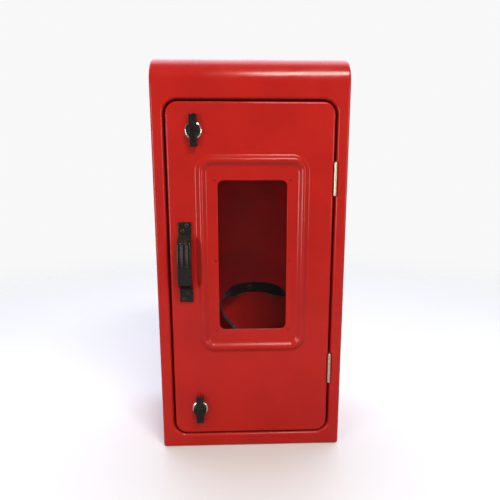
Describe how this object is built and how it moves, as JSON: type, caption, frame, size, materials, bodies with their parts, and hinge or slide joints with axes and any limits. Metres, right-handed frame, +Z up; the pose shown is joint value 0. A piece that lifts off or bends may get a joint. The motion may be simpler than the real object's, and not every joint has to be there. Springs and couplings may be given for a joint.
{
  "type": "fire equipment wall cabinet",
  "caption": "Tall moulded fire-equipment wall cabinet with a hinged front door, framed window, pull handle, quarter-turn latches and an inner retaining strap.",
  "frame": {"origin": "middle of the underside, half way between the front face of the body moulding and its back plane", "axes": "+Z up along the cabinet's height, +X to the right of somebody facing the door, +Y back towards the wall; the door and its handle face -Y"},
  "size_m": [0.38, 0.2793, 0.803],
  "materials": {
    "red_gelcoat": "glossy fire-red polyester gel coat on glass-fibre laminate",
    "interior_laminate": "red brushed-on top coat over chopped-strand glass mat",
    "clear_acrylic": "clear cast acrylic sheet",
    "black_rubber": "matt black EPDM foam rubber",
    "black_nylon": "black moulded nylon, semi-gloss",
    "black_webbing": "flat woven black polyester webbing",
    "chrome_plate": "chrome-plated zinc casting",
    "nickel_steel": "nickel-plated pressed steel",
    "zinc_steel": "bright zinc-plated steel",
    "painted_rivet": "aluminium blind rivet painted red with the door",
    "black_steel": "black-finished steel"
  },
  "bodies": {
    "cabinet": {"body_shell": "red_gelcoat", "back_panel": "interior_laminate", "door_gasket": "black_rubber", "upper_hinge_frame_leaf": "nickel_steel", "lower_hinge_frame_leaf": "nickel_steel", "upper_hinge_frame_rivet_1": "nickel_steel", "upper_hinge_frame_rivet_2": "nickel_steel", "upper_hinge_frame_rivet_3": "nickel_steel", "lower_hinge_frame_rivet_1": "nickel_steel", "lower_hinge_frame_rivet_2": "nickel_steel", "lower_hinge_frame_rivet_3": "nickel_steel", "upper_hinge_pin": "nickel_steel", "lower_hinge_pin": "nickel_steel", "retaining_strap": "black_webbing", "strap_keeper": "black_nylon", "strap_screw": "black_steel", "strap_washer": "black_steel"},
    "door": {"door_skin": "red_gelcoat", "window_seal": "black_rubber", "window_pane": "clear_acrylic", "window_rivet_top_left": "painted_rivet", "window_rivet_top_right": "painted_rivet", "window_rivet_middle_left": "painted_rivet", "window_rivet_middle_right": "painted_rivet", "window_rivet_bottom_left": "painted_rivet", "window_rivet_bottom_right": "painted_rivet", "pull_handle": "black_nylon", "handle_rivet_upper_outer": "black_steel", "handle_rivet_upper_inner": "black_steel", "handle_rivet_lower_outer": "black_steel", "handle_rivet_lower_inner": "black_steel", "upper_hinge_door_leaf": "nickel_steel", "lower_hinge_door_leaf": "nickel_steel", "upper_hinge_door_rivet_1": "nickel_steel", "upper_hinge_door_rivet_2": "nickel_steel", "upper_hinge_door_rivet_3": "nickel_steel", "lower_hinge_door_rivet_1": "nickel_steel", "lower_hinge_door_rivet_2": "nickel_steel", "lower_hinge_door_rivet_3": "nickel_steel", "upper_latch_housing": "chrome_plate", "lower_latch_housing": "chrome_plate", "upper_latch_nut": "zinc_steel", "lower_latch_nut": "zinc_steel"},
    "upper_latch": {"upper_latch_handle": "black_nylon", "upper_latch_cam": "zinc_steel", "upper_latch_cam_screw": "zinc_steel"},
    "lower_latch": {"lower_latch_handle": "black_nylon", "lower_latch_cam": "zinc_steel", "lower_latch_cam_screw": "zinc_steel"}
  },
  "joints": [
    {"name": "door_hinge", "type": "hinge", "parent": "cabinet", "child": "door", "pos_m": [0.1645, -0.1255, 0.3745], "axis": [0, 0, 1], "range_deg": [0, 170]},
    {"name": "upper_latch_turn", "type": "hinge", "parent": "door", "child": "upper_latch", "pos_m": [-0.109, -0.125, 0.6625], "axis": [0, 1, 0], "range_deg": [0, 90]},
    {"name": "lower_latch_turn", "type": "hinge", "parent": "door", "child": "lower_latch", "pos_m": [-0.109, -0.125, 0.091], "axis": [0, -1, 0], "range_deg": [0, 90]}
  ]
}
